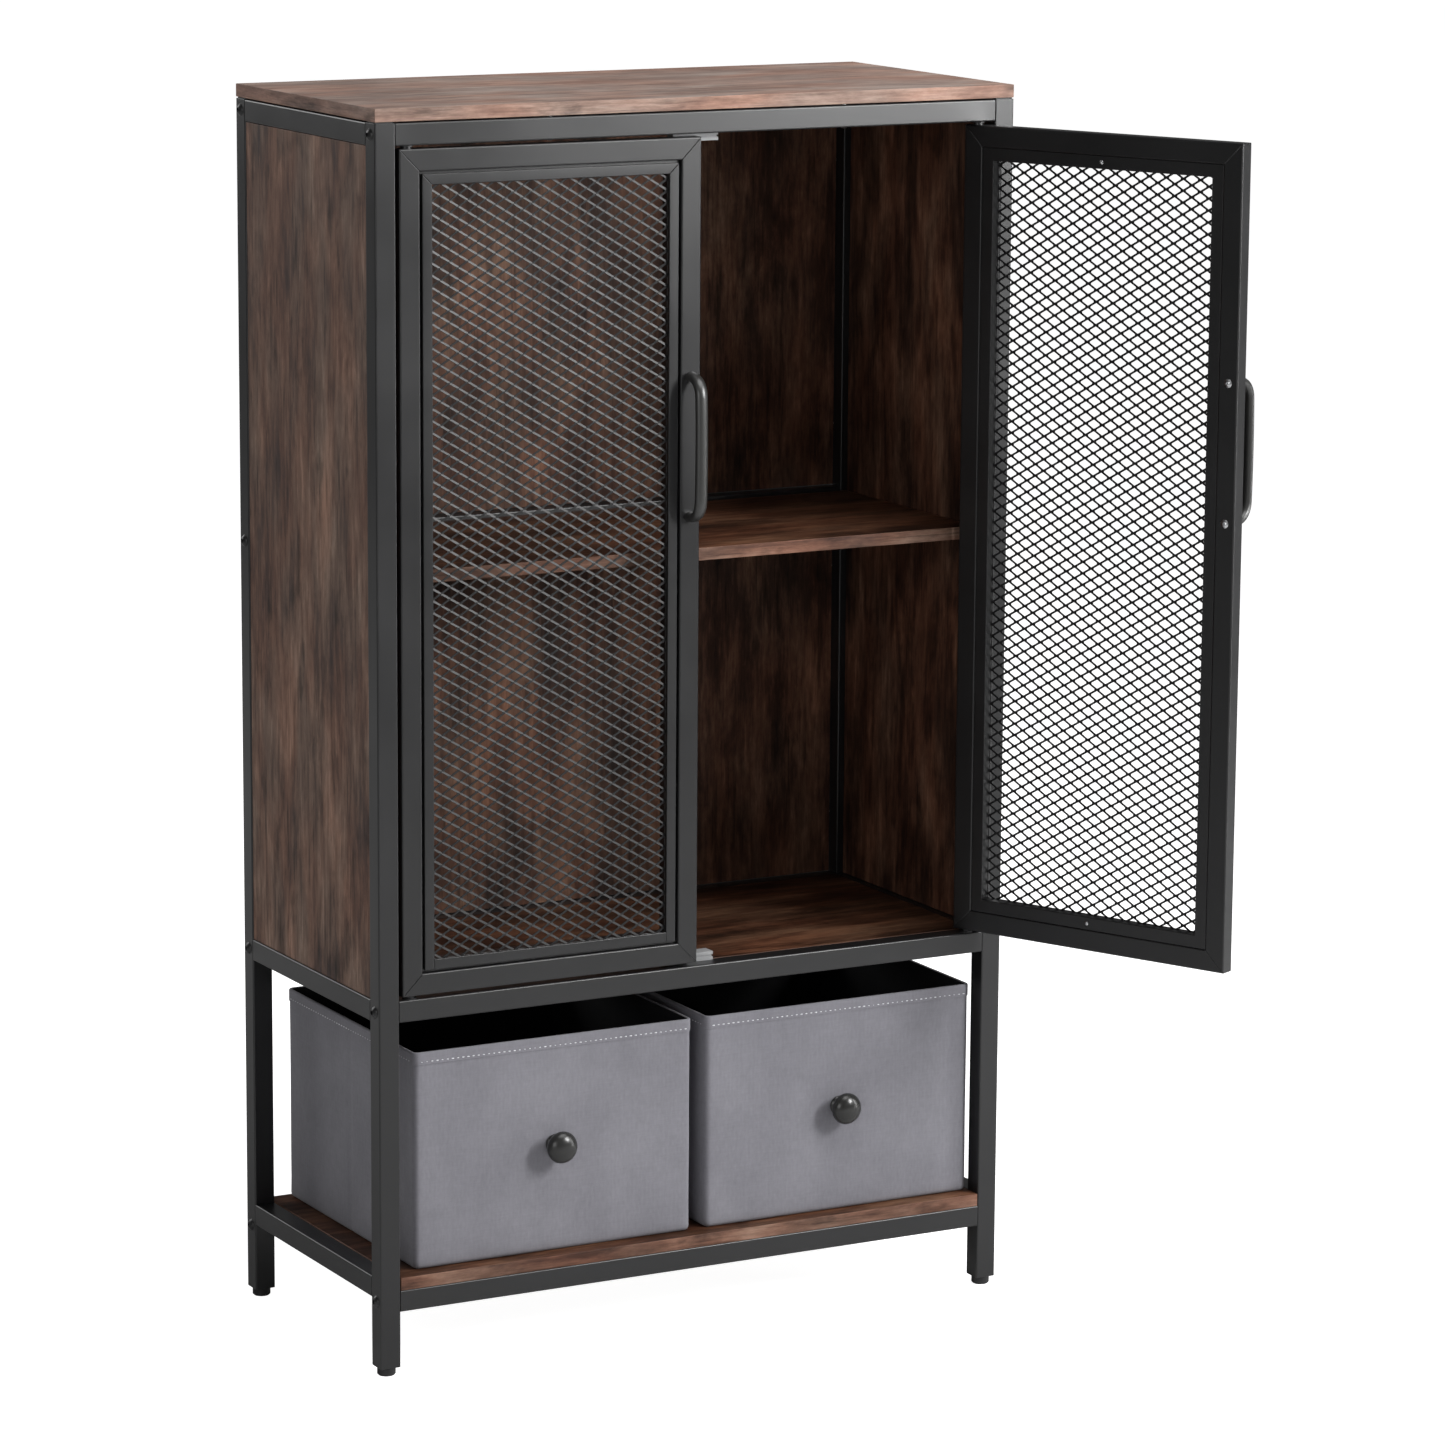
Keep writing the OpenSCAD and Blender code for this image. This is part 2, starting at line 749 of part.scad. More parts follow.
// Open-topped fabric box with stiff walls and a hole for the knob's screw
module bin_box(x) {
    inner_r = max(bin_corner_r - bin_wall, 0.5);
    color(fabric_colour) translate([x, bin_y, bay_floor]) difference() {
        linear_extrude(bin_h) rounded_rect(bin_w, bin_d, bin_corner_r);
        translate([0, 0, bin_wall]) linear_extrude(bin_h)
            rounded_rect(bin_w - 2 * bin_wall, bin_d - 2 * bin_wall, inner_r);
        translate([0, -bin_d / 2 - 1, bin_h / 2])
            rod_y(screw_d + 2 * hole_clearance, bin_wall + 2);
    }
}

module bin_base(x) {
    inset = bin_wall + bin_base_gap;
    color(plastic_colour) translate([x, bin_y, bay_floor + bin_wall + bin_base_t / 2])
        cube([bin_w - 2 * inset, bin_d - 2 * inset, bin_base_t], center = true);
}

// Mushroom knob on the bin's front with its screw and washer head inside
module bin_knob(x) {
    neck_h = knob_projection - knob_dome_h - knob_rim_h;
    color(plastic_colour)
        translate([x, bin_y - bin_d / 2, bay_floor + bin_h / 2]) rotate([90, 0, 0]) {
            cylinder(d = knob_base_d, h = knob_base_h);
            cylinder(d = knob_neck_d, h = neck_h + eps);
            translate([0, 0, neck_h]) cylinder(d = knob_d, h = knob_rim_h);
            translate([0, 0, neck_h + knob_rim_h - eps]) domed_head(knob_d, knob_dome_h);
            translate([0, 0, -bin_wall - eps]) cylinder(d = screw_d, h = bin_wall + 2 * eps);
            translate([0, 0, -bin_wall]) rotate([180, 0, 0])
                domed_head(screw_head_d * 1.5, screw_head_h, screw_head_d * 0.4);
        }
}

// ---- Nodes ----

post(-1, -1);  // post_front_left
post(1, -1);  // post_front_right
post(-1, 1);  // post_rear_left
post(1, 1);  // post_rear_right
side_rail(-1, top_z);  // side_rail_top_left
side_rail(-1, mid_z);  // side_rail_mid_left
side_rail(-1, side_low_z);  // side_rail_low_left
side_rail(1, top_z);  // side_rail_top_right
side_rail(1, mid_z);  // side_rail_mid_right
side_rail(1, side_low_z);  // side_rail_low_right
front_rail_top();
front_rail_mid();
front_rail_low();
rear_rail_top();
rear_rail_shelf();
rear_rail_mid();
rear_rail_low();
top_board();
shelf_board();
floor_board();
bottom_board();
side_panel(-1);  // side_panel_left
side_panel(1);  // side_panel_right
back_panel(back_split_high, panel_top, [back_pin_z[2], back_pin_z[3]]);  // back_panel_upper
back_panel(panel_bottom, back_split_low, [back_pin_z[0], back_pin_z[1]]);  // back_panel_lower
panel_dowels();
shelf_pins();
tube_end_plugs();
feet();
frame_bolts(-1);  // frame_bolts_left
frame_bolts(1);  // frame_bolts_right
top_board_screws();
door_catches();
pivot_bushes();
on_left_pivot(0) stile_hinge();  // door_left_stile_hinge
on_left_pivot(0) stile_latch();  // door_left_stile_latch
on_left_pivot(0) door_rail_top();  // door_left_rail_top
on_left_pivot(0) door_rail_bottom();  // door_left_rail_bottom
on_left_pivot(0) bead();  // door_left_bead
on_left_pivot(0) mesh_frame();  // door_left_mesh_frame
on_left_pivot(0) mesh_sheet();  // door_left_mesh
on_left_pivot(0) pivot_pins();  // door_left_pivot_pins
on_left_pivot(0) handle();  // door_left_handle
on_left_pivot(0) door_screws();  // door_left_screws
on_right_pivot() stile_hinge();  // door_right_stile_hinge
on_right_pivot() stile_latch();  // door_right_stile_latch
on_right_pivot() door_rail_top();  // door_right_rail_top
on_right_pivot() door_rail_bottom();  // door_right_rail_bottom
on_right_pivot() bead();  // door_right_bead
on_right_pivot() mesh_frame();  // door_right_mesh_frame
on_right_pivot() mesh_sheet();  // door_right_mesh
on_right_pivot() pivot_pins();  // door_right_pivot_pins
on_right_pivot() handle();  // door_right_handle
on_right_pivot() door_screws();  // door_right_screws
bin_box(bin_left_x);  // bin_left_box
bin_base(bin_left_x);  // bin_left_base
bin_knob(bin_left_x);  // bin_left_knob
bin_box(bin_right_x);  // bin_right_box
bin_base(bin_right_x);  // bin_right_base
bin_knob(bin_right_x);  // bin_right_knob
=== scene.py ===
"""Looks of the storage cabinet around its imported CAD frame.

Metres, +X right, the front faces -Y, +Z up, origin on the floor under the cabinet's middle.
"""

import json
import math

import bmesh
import bpy
from mathutils import Matrix, Vector, noise


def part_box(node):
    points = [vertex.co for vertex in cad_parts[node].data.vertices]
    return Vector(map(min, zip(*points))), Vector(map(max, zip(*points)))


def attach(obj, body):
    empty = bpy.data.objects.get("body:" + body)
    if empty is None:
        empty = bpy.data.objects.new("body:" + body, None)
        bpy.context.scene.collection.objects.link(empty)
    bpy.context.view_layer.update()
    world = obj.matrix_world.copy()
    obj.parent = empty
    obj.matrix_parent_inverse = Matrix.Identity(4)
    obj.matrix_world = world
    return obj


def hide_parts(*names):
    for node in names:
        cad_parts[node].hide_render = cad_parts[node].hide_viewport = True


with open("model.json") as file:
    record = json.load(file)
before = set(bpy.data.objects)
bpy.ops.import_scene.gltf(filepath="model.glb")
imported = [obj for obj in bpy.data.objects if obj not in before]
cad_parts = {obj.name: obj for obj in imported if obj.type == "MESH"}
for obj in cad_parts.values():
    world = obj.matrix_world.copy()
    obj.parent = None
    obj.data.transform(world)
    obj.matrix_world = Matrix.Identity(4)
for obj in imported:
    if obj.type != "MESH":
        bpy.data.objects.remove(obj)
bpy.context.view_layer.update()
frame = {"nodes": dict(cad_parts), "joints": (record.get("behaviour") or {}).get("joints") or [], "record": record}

NODES = frame["nodes"]
SLOTS = {part["node"]: part["material_slot"] for part in frame["record"]["subparts"]}
BODIES = frame["record"]["behaviour"]["bodies"]
BODY_OF = {node: body for body, members in BODIES.items() for node in members}
JOINTS = {joint["name"]: joint for joint in frame["joints"]}
MM = 0.001

# ---------------------------------------------------------------- material tools


def srgb(red, green, blue):
    """Linear colour with alpha from 0-255 display values."""
    linear = []
    for value in (red, green, blue):
        v = value / 255
        linear.append(v / 12.92 if v <= 0.04045 else ((v + 0.055) / 1.055) ** 2.4)
    return (*linear, 1.0)


class Shader:
    """A material with a Principled shader and short calls that add nodes to it."""

    def __init__(self, name, roughness=0.5, metallic=0.0, specular=0.5):
        self.material = bpy.data.materials.new(name)
        self.material.use_nodes = True
        self.tree = self.material.node_tree
        self.bsdf = self.tree.nodes["Principled BSDF"]
        self.bsdf.inputs["Roughness"].default_value = roughness
        self.bsdf.inputs["Metallic"].default_value = metallic
        self.bsdf.inputs["Specular IOR Level"].default_value = specular
        self.place = self.tree.nodes.new("ShaderNodeTexCoord").outputs["Object"]

    def link(self, source, target):
        self.tree.links.new(source, target)

    def mapped(self, scale, offset=(0, 0, 0)):
        """The object's coordinates, scaled and moved."""
        node = self.tree.nodes.new("ShaderNodeMapping")
        node.inputs["Scale"].default_value = scale
        node.inputs["Location"].default_value = offset
        self.link(self.place, node.inputs["Vector"])
        return node.outputs["Vector"]

    def noise(self, scale, offset=(0, 0, 0), detail=3.0, roughness=0.5, distortion=0.0):
        """Noise stretched by a scale for each axis, in cells per metre."""
        node = self.tree.nodes.new("ShaderNodeTexNoise")
        node.inputs["Scale"].default_value = 1.0
        node.inputs["Detail"].default_value = detail
        node.inputs["Roughness"].default_value = roughness
        node.inputs["Distortion"].default_value = distortion
        self.link(self.mapped(scale, offset), node.inputs["Vector"])
        return node.outputs["Fac"]

    def wave(self, direction, per_metre):
        """Sine ridges across one axis."""
        node = self.tree.nodes.new("ShaderNodeTexWave")
        node.wave_type = "BANDS"
        node.bands_direction = direction
        node.wave_profile = "SIN"
        node.inputs["Scale"].default_value = per_metre / math.tau * 0.314
        node.inputs["Distortion"].default_value = 0.0
        self.link(self.place, node.inputs["Vector"])
        return node.outputs["Fac"]

    def spread(self, value, low, high, to_low=0.0, to_high=1.0):
        """Value stretched from low..high to to_low..to_high, and held inside them."""
        node = self.tree.nodes.new("ShaderNodeMapRange")
        node.inputs["From Min"].default_value = low
        node.inputs["From Max"].default_value = high
        node.inputs["To Min"].default_value = to_low
        node.inputs["To Max"].default_value = to_high
        self.link(value, node.inputs["Value"])
        return node.outputs["Result"]

    def math(self, operation, a, b):
        node = self.tree.nodes.new("ShaderNodeMath")
        node.operation = operation
        for socket, value in zip(node.inputs, (a, b)):
            if isinstance(value, (int, float)):
                socket.default_value = value
            else:
                self.link(value, socket)
        return node.outputs["Value"]

    def ramp(self, value, stops):
        """Colour from a value through (place, colour) stops."""
        node = self.tree.nodes.new("ShaderNodeValToRGB")
        elements = node.color_ramp.elements
        while len(elements) < len(stops):
            elements.new(0.5)
        for element, (place, colour) in zip(elements, stops):
            element.position = place
            element.color = colour
        self.link(value, node.inputs["Fac"])
        return node.outputs["Color"]

    def multiply(self, colour, value):
        """Colour darkened by a 0-1 value, or tinted by a colour."""
        node = self.tree.nodes.new("ShaderNodeMix")
        node.data_type = "RGBA"
        node.blend_type = "MULTIPLY"
        node.inputs["Factor"].default_value = 1.0
        self.link(colour, node.inputs["A"])
        self.link(value, node.inputs["B"])
        return node.outputs["Result"]

    def colour(self, source):
        self.link(source, self.bsdf.inputs["Base Color"])

    def roughness(self, source):
        self.link(source, self.bsdf.inputs["Roughness"])

    def bump(self, height, strength, distance):
        node = self.tree.nodes.new("ShaderNodeBump")
        node.inputs["Strength"].default_value = strength
        node.inputs["Distance"].default_value = distance
        self.link(height, node.inputs["Height"])
        self.link(node.outputs["Normal"], self.bsdf.inputs["Normal"])


# ---------------------------------------------------------------- materials

# Size of the wood's features, in noise cells per metre along and across the grain.
BLOTCH = (6.5, 20.0)
STREAK = (15.0, 130.0)
GRAIN = (30.0, 520.0)
CRACK = (12.0, 210.0)
STAIN = (16.0, 42.0)
HUE = (8.0, 24.0)
HUE_SHIFT = 5.0
HUE_TINTS = [(0.38, (0.94, 1.0, 1.04, 1)), (0.62, (1.07, 0.95, 0.91, 1))]
BLOTCH_SHARE = 0.6
STREAK_SHARE = 0.4
GLOSS_SWING = 0.08
PORE_DEPTH = 0.3 * MM


def wood(name, stops, axis, offset, roughness=0.52, stain_depth=0.5, specular=0.18):
    """Rustic wood foil with blotches, streaks, pores and dark stains along one axis."""
    along = "XYZ".index(axis)
    s = Shader(name, specular=specular)

    def feature(size, **settings):
        """Noise stretched along the grain."""
        return s.noise([size[0] if i == along else size[1] for i in range(3)], **settings)

    blotch = feature(BLOTCH, offset=offset, detail=8.0, roughness=0.68, distortion=0.2)
    streak = feature(STREAK, offset=offset, detail=8.0, roughness=0.72, distortion=0.08)
    grain = feature(GRAIN, offset=offset, detail=4.0, roughness=0.6)
    crack = feature(CRACK, offset=offset, detail=3.0, roughness=0.5, distortion=0.1)
    stain = feature(STAIN, offset=offset, detail=4.0, roughness=0.6, distortion=0.15)
    hue = feature(HUE, offset=(*offset[:2], offset[2] + HUE_SHIFT), detail=2.0)
    value = s.math("ADD", s.math("MULTIPLY", s.spread(blotch, 0.34, 0.66), BLOTCH_SHARE),
                   s.math("MULTIPLY", s.spread(streak, 0.3, 0.7), STREAK_SHARE))
    base = s.ramp(value, stops)
    base = s.multiply(base, s.ramp(hue, HUE_TINTS))
    base = s.multiply(base, s.spread(grain, 0.3, 0.55, 0.72, 1.0))
    base = s.multiply(base, s.spread(crack, 0.3, 0.42, 0.55, 1.0))
    base = s.multiply(base, s.spread(stain, 0.3, 0.43, stain_depth, 1.0))
    s.colour(base)
    s.roughness(s.spread(streak, 0.25, 0.75, roughness + GLOSS_SWING, roughness - GLOSS_SWING))
    s.bump(s.math("ADD", grain, s.math("MULTIPLY", crack, 1.5)), 0.25, PORE_DEPTH)
    return s.material


def shaded(colour, share):
    """The colour at a share of its brightness."""
    return (*(channel * share for channel in colour[:3]), 1.0)


def powder_coat(name, colour, roughness=0.4, grain=0.12, specular=0.5):
    """Satin powder coat: a near-black with a fine orange-peel surface."""
    s = Shader(name, specular=specular)
    cloud = s.noise((9, 9, 9), detail=3.0)
    peel = s.noise((1500, 1500, 1500), detail=2.0)
    s.colour(s.ramp(cloud, [(0.35, shaded(colour, 0.82)), (0.65, colour)]))
    s.roughness(s.spread(cloud, 0.3, 0.7, roughness - 0.04, roughness + 0.04))
    s.bump(peel, grain, 0.06 * MM)
    return s.material


def bare_metal(name, colour, roughness):
    """Plated steel with faint brushed streaks."""
    s = Shader(name, metallic=1.0)
    streak = s.noise((900, 120, 900), detail=3.0)
    s.colour(s.ramp(streak, [(0.3, shaded(colour, 0.75)), (0.7, colour)]))
    s.roughness(s.spread(streak, 0.3, 0.7, roughness - 0.06, roughness + 0.08))
    s.bump(streak, 0.1, 0.03 * MM)
    return s.material


def moulded_plastic(name, colour, roughness):
    """Moulded plastic with a fine spark-eroded grain."""
    s = Shader(name, specular=0.45)
    cloud = s.noise((40, 40, 40), detail=2.0)
    grain = s.noise((2200, 2200, 2200), detail=2.0)
    s.colour(s.ramp(cloud, [(0.35, shaded(colour, 0.85)), (0.65, colour)]))
    s.roughness(s.spread(grain, 0.3, 0.7, roughness - 0.06, roughness + 0.06))
    s.bump(grain, 0.15, 0.05 * MM)
    return s.material


def woven(name, dark, light, offset, thread_mm=0.7, sheen=0.15):
    """Brushed woven fabric with soft clouds and a fine weave."""
    s = Shader(name, roughness=0.9, specular=0.15)
    s.bsdf.inputs["Sheen Weight"].default_value = sheen
    s.bsdf.inputs["Sheen Roughness"].default_value = 0.5
    cloud = s.noise((13, 13, 10), offset, detail=5.0, roughness=0.6, distortion=0.3)
    fibre = s.noise((420, 420, 150), offset, detail=4.0, roughness=0.6)
    slub = s.noise((70, 70, 1400), offset, detail=2.0)
    value = s.math("ADD", s.math("MULTIPLY", s.spread(cloud, 0.3, 0.7), 0.5),
                   s.math("MULTIPLY", s.spread(fibre, 0.25, 0.75), 0.35))
    value = s.math("ADD", value, s.math("MULTIPLY", s.spread(slub, 0.3, 0.7), 0.15))
    s.colour(s.ramp(value, [(0.15, dark), (0.85, light)]))
    per_metre = 1000 / thread_mm
    weave = s.math("ADD", s.wave("X", per_metre), s.wave("Z", per_metre))
    weave = s.math("ADD", weave, s.wave("Y", per_metre))
    s.bump(s.math("ADD", weave, fibre), 0.15, 0.12 * MM)
    return s.material


# Foil colours from dark to light, each with its place on the ramp.
WALNUT = [(0.16, srgb(67, 55, 52)), (0.40, srgb(99, 77, 66)), (0.60, srgb(122, 97, 83)),
          (0.84, srgb(152, 125, 108))]
# Painted shade: a darker copy of the panel walnut for the cabinet's inner faces and back panels.
WALNUT_PAINTED_SHADE = [(0.16, srgb(38, 26, 21)), (0.40, srgb(68, 46, 36)), (0.60, srgb(97, 69, 54)),
               (0.84, srgb(132, 99, 79))]
WALNUT_WARM = [(0.18, srgb(38, 23, 15)), (0.40, srgb(63, 39, 26)), (0.58, srgb(86, 57, 41)),
               (0.82, srgb(114, 81, 60))]
WALNUT_GREY = [(0.18, srgb(126, 107, 98)), (0.42, srgb(144, 123, 113)), (0.60, srgb(157, 136, 125)),
               (0.84, srgb(171, 152, 141))]
EDGE_DARK = [(0.18, srgb(70, 49, 40)), (0.42, srgb(98, 70, 57)), (0.60, srgb(118, 88, 73)),
             (0.84, srgb(142, 112, 95))]
EDGE_BAND = [(0.18, srgb(98, 77, 67)), (0.42, srgb(128, 102, 90)), (0.60, srgb(149, 122, 108)),
             (0.84, srgb(172, 147, 133))]

MATERIALS = {
    "frame_steel": powder_coat("frame_steel", srgb(25, 25, 26), 0.34, specular=0.6),
    "door_steel": powder_coat("door_steel", srgb(23, 23, 24), 0.34, specular=0.6),
    "mesh_steel": powder_coat("mesh_steel", srgb(22, 22, 23), 0.45, specular=0.4),
    "top_wood": wood("top_wood", WALNUT_GREY, "X", (0.31, 0.12, 0.0), 0.72, 0.88, 0.08),
    "shelf_wood": wood("shelf_wood", WALNUT_WARM, "X", (1.7, 0.4, 0.9)),
    "panel_wood": wood("panel_wood", WALNUT, "Z", (0.0, 0.0, 0.0), 0.56),
    "bin_fabric": woven("bin_fabric", srgb(109, 108, 114), srgb(127, 126, 132), (0.2, 0.7, 0.1)),
    "bin_base_board": woven("bin_base_board", srgb(26, 26, 28), srgb(38, 38, 41), (3.0, 1.0, 0.5)),
    "knob_metal": powder_coat("knob_metal", srgb(38, 38, 37), 0.28, 0.05),
    "handle_metal": powder_coat("handle_metal", srgb(46, 46, 45), 0.33, 0.05, 0.7),
    "bolt_black": powder_coat("bolt_black", srgb(32, 32, 33), 0.34, 0.05),
    "black_plastic": moulded_plastic("black_plastic", srgb(30, 30, 31), 0.5),
    "catch_grey": moulded_plastic("catch_grey", srgb(150, 151, 152), 0.45),
    "screw_steel": bare_metal("screw_steel", srgb(205, 206, 208), 0.3),
}
# The inner faces of the side panels and the back panels get this darker walnut copy: painted shade.
INNER_WOOD_PAINTED_SHADE = wood("inner_panel_wood_painted_shade", WALNUT_PAINTED_SHADE, "Z", (0.7, 0.3, 2.1), 0.56)
EDGE_LOW_X = wood("low_edge_band_long", EDGE_DARK, "X", (0.4, 0.5, 0.3))
EDGE_LOW_Y = wood("low_edge_band_short", EDGE_DARK, "Y", (0.8, 0.1, 0.6))
EDGE_X = wood("edge_band_long", EDGE_BAND, "X", (0.9, 0.2, 0.4))
EDGE_Y = wood("edge_band_short", EDGE_BAND, "Y", (0.1, 0.6, 0.2))
LINING = woven("bin_lining", srgb(20, 20, 22), srgb(30, 30, 32), (1.1, 0.2, 0.4), sheen=0.03)
THREAD = woven("stitch_thread", srgb(196, 196, 200), srgb(226, 226, 230), (0.5, 0.1, 0.8), 0.4)

for node, cad_object in NODES.items():
    cad_object.data.materials.clear()
    cad_object.data.materials.append(MATERIALS[SLOTS[node]])

# ---------------------------------------------------------------- mesh tools

WELD = 0.002 * MM
FLAT_ANGLE = 0.5
EASE_ANGLE = 35
SMOOTH_ANGLE = 40
SOFT_ANGLE = 50
THREAD_ANGLE = 80


def new_object(name, mesh, *materials):
    """A mesh as an object in the scene."""
    obj = bpy.data.objects.new(name, mesh)
    bpy.context.scene.collection.objects.link(obj)
    for material in materials:
        mesh.materials.append(material)
    return obj


def from_bmesh(name, bm, *materials):
    """The edited mesh as an object in the scene."""
    mesh = bpy.data.meshes.new(name)
    bm.normal_update()
    bm.to_mesh(mesh)
    bm.free()
    return new_object(name, mesh, *materials)


def smooth(obj, angle=SMOOTH_ANGLE):
    """Smooth shading that keeps edges sharper than the angle."""
    for polygon in obj.data.polygons:
        polygon.use_smooth = True
    obj.data.set_sharp_from_angle(angle=math.radians(angle))


def tube(bm, rings):
    """A closed skin over rings of points, with a cap at each end."""
    for a, b in zip(rings, rings[1:]):
        for k in range(len(a)):
            m = (k + 1) % len(a)
            bm.faces.new((a[k], b[k], b[m], a[m]))
    bm.faces.new(rings[0])
    bm.faces.new(list(reversed(rings[-1])))


def apply_modifiers(obj):
    """Turns the object's modifiers into its mesh."""
    bpy.context.view_layer.update()
    graph = bpy.context.evaluated_depsgraph_get()
    mesh = bpy.data.meshes.new_from_object(
        obj.evaluated_get(graph), preserve_all_data_layers=True, depsgraph=graph
    )
    obj.modifiers.clear()
    obj.data = mesh


def ease_edges(obj, width):
    """Rounds the sharp edges and evens out the normals."""
    for polygon in obj.data.polygons:
        polygon.use_smooth = True
    bevel = obj.modifiers.new("ease", "BEVEL")
    bevel.limit_method = "ANGLE"
    bevel.angle_limit = math.radians(EASE_ANGLE)
    bevel.width = width
    bevel.segments = 2
    bevel.use_clamp_overlap = False
    normals = obj.modifiers.new("normals", "WEIGHTED_NORMAL")
    normals.weight = 80
    apply_modifiers(obj)


def place(obj, node, *more_nodes):
    """Puts a piece on its node's body in place of the node."""
    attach(obj, BODY_OF[node])
    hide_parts(node, *more_nodes)
    return obj


def eased_copy(node, width):
    """The node's own shape with its sharp edges rounded."""
    bm = bmesh.new()
    bm.from_mesh(NODES[node].data)
    bmesh.ops.remove_doubles(bm, verts=bm.verts, dist=WELD)
    bmesh.ops.dissolve_limit(
        bm, angle_limit=math.radians(FLAT_ANGLE), verts=bm.verts, edges=bm.edges
    )
    obj = from_bmesh(node + "_eased", bm, MATERIALS[SLOTS[node]])
    ease_edges(obj, width)
    return place(obj, node)


# ---------------------------------------------------------------- frame and boards

TUBE_EASE = 0.35 * MM
MITRE_EASE = 0.55 * MM
BOARD_EASE = 0.6 * MM
FACE_ON = 0.8
SIDE_ON = 0.7

for node in BODIES["cabinet"]:
    if node.startswith(("post_", "side_rail_", "front_rail_", "rear_rail_")):
        eased_copy(node, TUBE_EASE)


def board(node, long_band, short_band):
    """A level board whose faces carry the foil and whose narrow sides carry the edge band."""
    obj = eased_copy(node, BOARD_EASE)
    obj.data.materials.append(long_band)
    obj.data.materials.append(short_band)
    for polygon in obj.data.polygons:
        if abs(polygon.normal.z) < FACE_ON:
            polygon.material_index = 2 if abs(polygon.normal.x) > SIDE_ON else 1


def side_panel(node, inwards):
    """A side panel with painted shade on its inner face: a darker copy of the walnut foil."""
    obj = eased_copy(node, BOARD_EASE)
    obj.data.materials.append(INNER_WOOD_PAINTED_SHADE)
    for polygon in obj.data.polygons:
        if polygon.normal.x * inwards > FACE_ON:
            polygon.material_index = 1


board("top_board", EDGE_X, EDGE_Y)
for node in ("shelf_board", "floor_board", "bottom_board"):
    board(node, EDGE_LOW_X, EDGE_LOW_Y)
side_panel("side_panel_left", 1)
side_panel("side_panel_right", -1)
# The back panels carry the darker walnut copy all over: painted shade.
for node in ("back_panel_upper", "back_panel_lower"):
    eased_copy(node, BOARD_EASE).data.materials[0] = INNER_WOOD_PAINTED_SHADE

# ---------------------------------------------------------------- doors

STRIP_INSET = 22.5 * MM
BEAD_W = 9.5 * MM
BEAD_T = 3.5 * MM
BEAD_SETBACK = 0.5 * MM
BEAD_EASE = 0.6 * MM
DIAMOND_W = 18.1 * MM
DIAMOND_H = 10.75 * MM
STRAND_W = 1.9 * MM
STRAND_T = 0.55 * MM
STRAND_TILT = 0.22 * MM
KNOT = 1.1 * MM
MESH_MARGIN = 1.0 * MM
HANDLE_SPAN = 128 * MM
HANDLE_DROP = 280 * MM
HANDLE_STILE = 10 * MM
HANDLE_W = 12 * MM
HANDLE_T = 8.4 * MM
HANDLE_OUT = 26 * MM
HANDLE_BEND = 17 * MM
HANDLE_BOW = 0.9 * MM
HANDLE_SIDES = 28
HANDLE_FLARE = (1.18, 1.06, 1.0)
FOOT_STEPS = 3
BEND_STEPS = 8
BAR_STEPS = 6

door_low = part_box("door_left_rail_bottom")[0]
door_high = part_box("door_left_rail_top")[1]
DOOR_W = door_high.x - door_low.x
DOOR_H = door_high.z - door_low.z


def door_place(side):
    """From a door's own frame, X from the hinge edge and Y from the front face, to its place at rest."""
    pivot = Vector(JOINTS["door_left_hinge"]["pos_m"])
    opened = 0 if side == "left" else JOINTS["door_right_hinge"]["range_deg"][0]
    turn = (Matrix.Translation(pivot) @ Matrix.Rotation(math.radians(opened), 4, "Z")
            @ Matrix.Translation(-pivot) @ Matrix.Translation(door_low))
    return turn if side == "left" else Matrix.Scale(-1, 4, (1, 0, 0)) @ turn


def to_door(bm, side):
    """Moves a mesh from the door's own frame to its place."""
    bmesh.ops.transform(bm, matrix=door_place(side), verts=bm.verts)
    if side == "right":
        bmesh.ops.reverse_faces(bm, faces=bm.faces)


def prism(bm, outline, front, thickness):
    """Flat bar with the given XZ outline."""
    near = [bm.verts.new((x, front, z)) for x, z in outline]
    far = [bm.verts.new((x, front + thickness, z)) for x, z in outline]
    bm.faces.new(near)
    bm.faces.new(list(reversed(far)))
    for i in range(len(outline)):
        j = (i + 1) % len(outline)
        bm.faces.new((near[j], near[i], far[i], far[j]))


def bead(side):
    """Strips around the mesh, mitred at the top and butted at the bottom, each bar on its own."""
    low = STRIP_INSET
    right = DOOR_W - low
    top = DOOR_H - low
    w = BEAD_W
    outlines = [
        [(low, low), (low + w, low), (low + w, top - w), (low, top)],
        [(right - w, low), (right, low), (right, top), (right - w, top - w)],
        [(low, top), (low + w, top - w), (right - w, top - w), (right, top)],
        [(low + w, low), (right - w, low), (right - w, low + w), (low + w, low + w)],
    ]
    bm = bmesh.new()
    for outline in outlines:
        prism(bm, outline, BEAD_SETBACK, BEAD_T)
    bmesh.ops.recalc_face_normals(bm, faces=bm.faces)
    to_door(bm, side)
    obj = from_bmesh(f"door_{side}_bead_strips", bm, MATERIALS["door_steel"])
    ease_edges(obj, BEAD_EASE)
    place(obj, f"door_{side}_bead")


